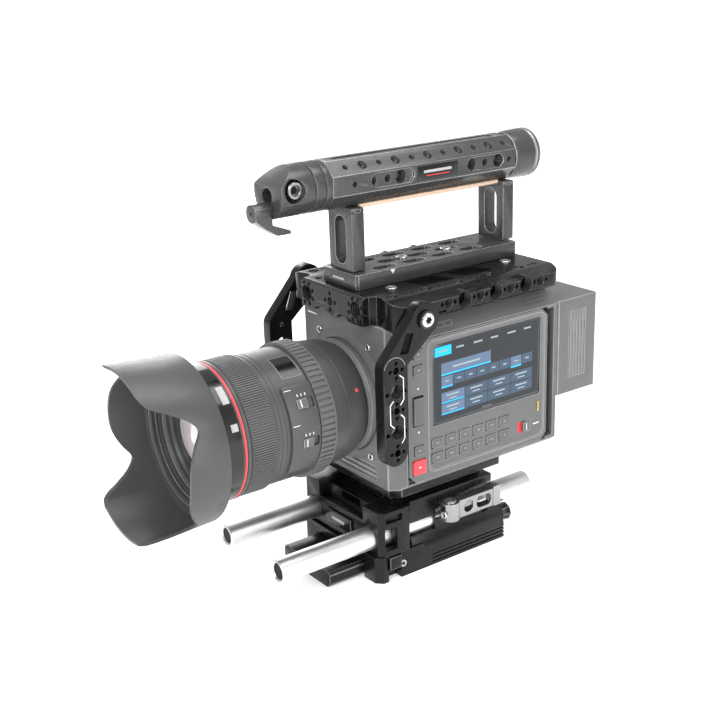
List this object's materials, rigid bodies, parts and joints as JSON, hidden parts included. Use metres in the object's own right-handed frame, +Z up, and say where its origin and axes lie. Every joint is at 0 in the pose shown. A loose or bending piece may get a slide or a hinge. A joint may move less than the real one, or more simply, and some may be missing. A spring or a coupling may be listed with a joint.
{
  "type": "cinema camera rig",
  "caption": "Cinema camera with a zoom lens and petal hood, in a drilled top cage with a handle, on a baseplate with rods and a clamp lever.",
  "frame": {"origin": "middle of the dovetail plate on its underside, below the camera", "axes": "+Z up, the lens looks along -Y, the monitor side is +X"},
  "size_m": [0.134, 0.3271, 0.2628],
  "materials": {
    "anodised_black": "fine matt anodised aluminium, near black",
    "handle_grey": "satin dark grey anodised aluminium",
    "bright_steel": "bright machined steel and polished aluminium",
    "body_grey": "fine textured dark grey paint",
    "lens_grey": "fine textured dark grey lens paint",
    "ribbed_rubber": "ribbed grip rubber",
    "key_grey": "matt moulded keys",
    "screen": "glossy display window",
    "optic": "coated optical glass",
    "record_red": "red button",
    "pale_wood": "pale peach grip strip"
  },
  "bodies": {
    "rig": {"base_body": "anodised_black", "rod_clamp_block": "anodised_black", "name_plate": "anodised_black", "camera_plate": "anodised_black", "image_sensor": "anodised_black", "cage_top_plate": "anodised_black", "cage_bracket_door_side": "anodised_black", "cage_bracket_monitor_side": "anodised_black", "lens_mount_ring": "body_grey", "rod_lever_stud": "bright_steel", "bracket_bolt_door_side": "bright_steel", "bracket_bolt_monitor_side": "bright_steel", "nose_clamp_bolt": "bright_steel", "camera_body": "body_grey", "front_housing": "body_grey", "monitor_panel": "body_grey", "monitor_screen": "screen", "lens_barrel": "lens_grey", "handle_base": "handle_grey", "handle_post_front": "handle_grey", "handle_post_rear": "handle_grey", "handle_tube": "handle_grey", "handle_nose": "handle_grey", "handle_end_cap": "handle_grey", "grip_strip": "pale_wood"},
    "dovetail_plate": {"dovetail_plate": "anodised_black"},
    "rod_door_side": {"rod_door_side": "bright_steel"},
    "rod_monitor_side": {"rod_monitor_side": "bright_steel"},
    "rod_lever": {"rod_lever": "handle_grey"},
    "dovetail_knob": {"dovetail_knob": "anodised_black"},
    "safety_latch": {"safety_latch": "anodised_black"},
    "iris_rocker": {"iris_rocker": "key_grey"},
    "lock_slider": {"lock_slider": "key_grey"},
    "battery": {"battery": "body_grey"},
    "battery_latch": {"battery_latch": "key_grey"},
    "focus_ring": {"focus_ring": "ribbed_rubber"},
    "zoom_ring": {"zoom_ring": "ribbed_rubber"},
    "front_barrel": {"front_barrel": "lens_grey", "front_element": "optic"},
    "lens_hood": {"lens_hood": "lens_grey"},
    "focus_mode_switch": {"focus_mode_switch": "key_grey"},
    "stabiliser_switch": {"stabiliser_switch": "key_grey"},
    "nose_lever": {"nose_lever": "handle_grey"},
    "key_row1_1": {"key_row1_1": "key_grey"},
    "key_row1_2": {"key_row1_2": "key_grey"},
    "key_row1_3": {"key_row1_3": "key_grey"},
    "key_row1_4": {"key_row1_4": "key_grey"},
    "key_row1_5": {"key_row1_5": "key_grey"},
    "key_row1_6": {"key_row1_6": "key_grey"},
    "key_row2_1": {"key_row2_1": "key_grey"},
    "key_row2_2": {"key_row2_2": "key_grey"},
    "key_row2_3": {"key_row2_3": "key_grey"},
    "key_row2_4": {"key_row2_4": "key_grey"},
    "key_row2_5": {"key_row2_5": "key_grey"},
    "key_row2_6": {"key_row2_6": "key_grey"},
    "display_button": {"display_button": "key_grey"},
    "peaking_button": {"peaking_button": "key_grey"},
    "still_button": {"still_button": "key_grey"},
    "record_button": {"record_button": "record_red"}
  },
  "joints": [
    {"name": "dovetail_slide", "type": "slide", "parent": "rig", "child": "dovetail_plate", "axis": [0, 1, 0], "range_m": [-0.04, 0.04]},
    {"name": "rod_door_side_slide", "type": "slide", "parent": "rig", "child": "rod_door_side", "axis": [0, 1, 0], "range_m": [-0.06, 0.03]},
    {"name": "rod_monitor_side_slide", "type": "slide", "parent": "rig", "child": "rod_monitor_side", "axis": [0, 1, 0], "range_m": [-0.06, 0.03]},
    {"name": "rod_lever_turn", "type": "hinge", "parent": "rig", "child": "rod_lever", "pos_m": [0.0446, 0.004, 0.036], "axis": [0, 0, 1], "range_deg": [-90, 0]},
    {"name": "dovetail_knob_turn", "type": "hinge", "parent": "rig", "child": "dovetail_knob", "pos_m": [0.0345, 0.057, 0.0142], "axis": [0, 1, 0], "range_deg": [-180, 0]},
    {"name": "safety_latch_press", "type": "slide", "parent": "rig", "child": "safety_latch", "axis": [-1, 0, 0], "range_m": [0, 0.002], "stiffness_N_per_m": 300},
    {"name": "iris_rocker_tilt", "type": "hinge", "parent": "rig", "child": "iris_rocker", "pos_m": [0.0484, -0.025, 0.1125], "axis": [0, 1, 0], "range_deg": [-4, 4], "stiffness_Nm_per_rad": 0.05},
    {"name": "lock_slider_slide", "type": "slide", "parent": "rig", "child": "lock_slider", "axis": [0, 1, 0], "range_m": [-0.003, 0.003]},
    {"name": "battery_slide", "type": "slide", "parent": "rig", "child": "battery", "axis": [0, 0, 1], "range_m": [0, 0.03]},
    {"name": "battery_latch_slide", "type": "slide", "parent": "battery", "child": "battery_latch", "axis": [0, 0, -1], "range_m": [0, 0.003], "stiffness_N_per_m": 300},
    {"name": "focus_turn", "type": "hinge", "parent": "rig", "child": "focus_ring", "pos_m": [0, -0.083, 0.1145], "axis": [0, 1, 0], "range_deg": [-60, 60]},
    {"name": "zoom_turn", "type": "hinge", "parent": "rig", "child": "zoom_ring", "pos_m": [0, -0.1265, 0.1145], "axis": [0, 1, 0], "range_deg": [0, 75]},
    {"name": "front_barrel_slide", "type": "slide", "parent": "rig", "child": "front_barrel", "axis": [0, -1, 0], "range_m": [0, 0.026]},
    {"name": "hood_turn", "type": "hinge", "parent": "front_barrel", "child": "lens_hood", "pos_m": [0, -0.155, 0.1145], "axis": [0, 1, 0], "range_deg": [0, 60]},
    {"name": "focus_mode_slide", "type": "slide", "parent": "rig", "child": "focus_mode_switch", "axis": [0, 1, 0], "range_m": [0, 0.0035]},
    {"name": "stabiliser_slide", "type": "slide", "parent": "rig", "child": "stabiliser_switch", "axis": [0, 1, 0], "range_m": [0, 0.0035]},
    {"name": "nose_lever_turn", "type": "hinge", "parent": "rig", "child": "nose_lever", "pos_m": [-0.001, -0.097, 0.2365], "axis": [0, 1, 0], "range_deg": [-30, 30]},
    {"name": "key_row1_1_press", "type": "slide", "parent": "rig", "child": "key_row1_1", "axis": [-1, 0, 0], "range_m": [0, 0.0007], "stiffness_N_per_m": 600},
    {"name": "key_row1_2_press", "type": "slide", "parent": "rig", "child": "key_row1_2", "axis": [-1, 0, 0], "range_m": [0, 0.0007], "stiffness_N_per_m": 600},
    {"name": "key_row1_3_press", "type": "slide", "parent": "rig", "child": "key_row1_3", "axis": [-1, 0, 0], "range_m": [0, 0.0007], "stiffness_N_per_m": 600},
    {"name": "key_row1_4_press", "type": "slide", "parent": "rig", "child": "key_row1_4", "axis": [-1, 0, 0], "range_m": [0, 0.0007], "stiffness_N_per_m": 600},
    {"name": "key_row1_5_press", "type": "slide", "parent": "rig", "child": "key_row1_5", "axis": [-1, 0, 0], "range_m": [0, 0.0007], "stiffness_N_per_m": 600},
    {"name": "key_row1_6_press", "type": "slide", "parent": "rig", "child": "key_row1_6", "axis": [-1, 0, 0], "range_m": [0, 0.0007], "stiffness_N_per_m": 600},
    {"name": "key_row2_1_press", "type": "slide", "parent": "rig", "child": "key_row2_1", "axis": [-1, 0, 0], "range_m": [0, 0.0007], "stiffness_N_per_m": 600},
    {"name": "key_row2_2_press", "type": "slide", "parent": "rig", "child": "key_row2_2", "axis": [-1, 0, 0], "range_m": [0, 0.0007], "stiffness_N_per_m": 600},
    {"name": "key_row2_3_press", "type": "slide", "parent": "rig", "child": "key_row2_3", "axis": [-1, 0, 0], "range_m": [0, 0.0007], "stiffness_N_per_m": 600},
    {"name": "key_row2_4_press", "type": "slide", "parent": "rig", "child": "key_row2_4", "axis": [-1, 0, 0], "range_m": [0, 0.0007], "stiffness_N_per_m": 600},
    {"name": "key_row2_5_press", "type": "slide", "parent": "rig", "child": "key_row2_5", "axis": [-1, 0, 0], "range_m": [0, 0.0007], "stiffness_N_per_m": 600},
    {"name": "key_row2_6_press", "type": "slide", "parent": "rig", "child": "key_row2_6", "axis": [-1, 0, 0], "range_m": [0, 0.0007], "stiffness_N_per_m": 600},
    {"name": "display_button_press", "type": "slide", "parent": "rig", "child": "display_button", "axis": [-1, 0, 0], "range_m": [0, 0.0007], "stiffness_N_per_m": 600},
    {"name": "peaking_button_press", "type": "slide", "parent": "rig", "child": "peaking_button", "axis": [-1, 0, 0], "range_m": [0, 0.0007], "stiffness_N_per_m": 600},
    {"name": "still_button_press", "type": "slide", "parent": "rig", "child": "still_button", "axis": [-1, 0, 0], "range_m": [0, 0.0007], "stiffness_N_per_m": 600},
    {"name": "record_button_press", "type": "slide", "parent": "rig", "child": "record_button", "axis": [-1, 0, 0], "range_m": [0, 0.0007], "stiffness_N_per_m": 600}
  ],
  "couplings": [
    {"joint": "front_barrel_slide", "follows": "zoom_turn", "m_per_rad": 0.0191}
  ]
}
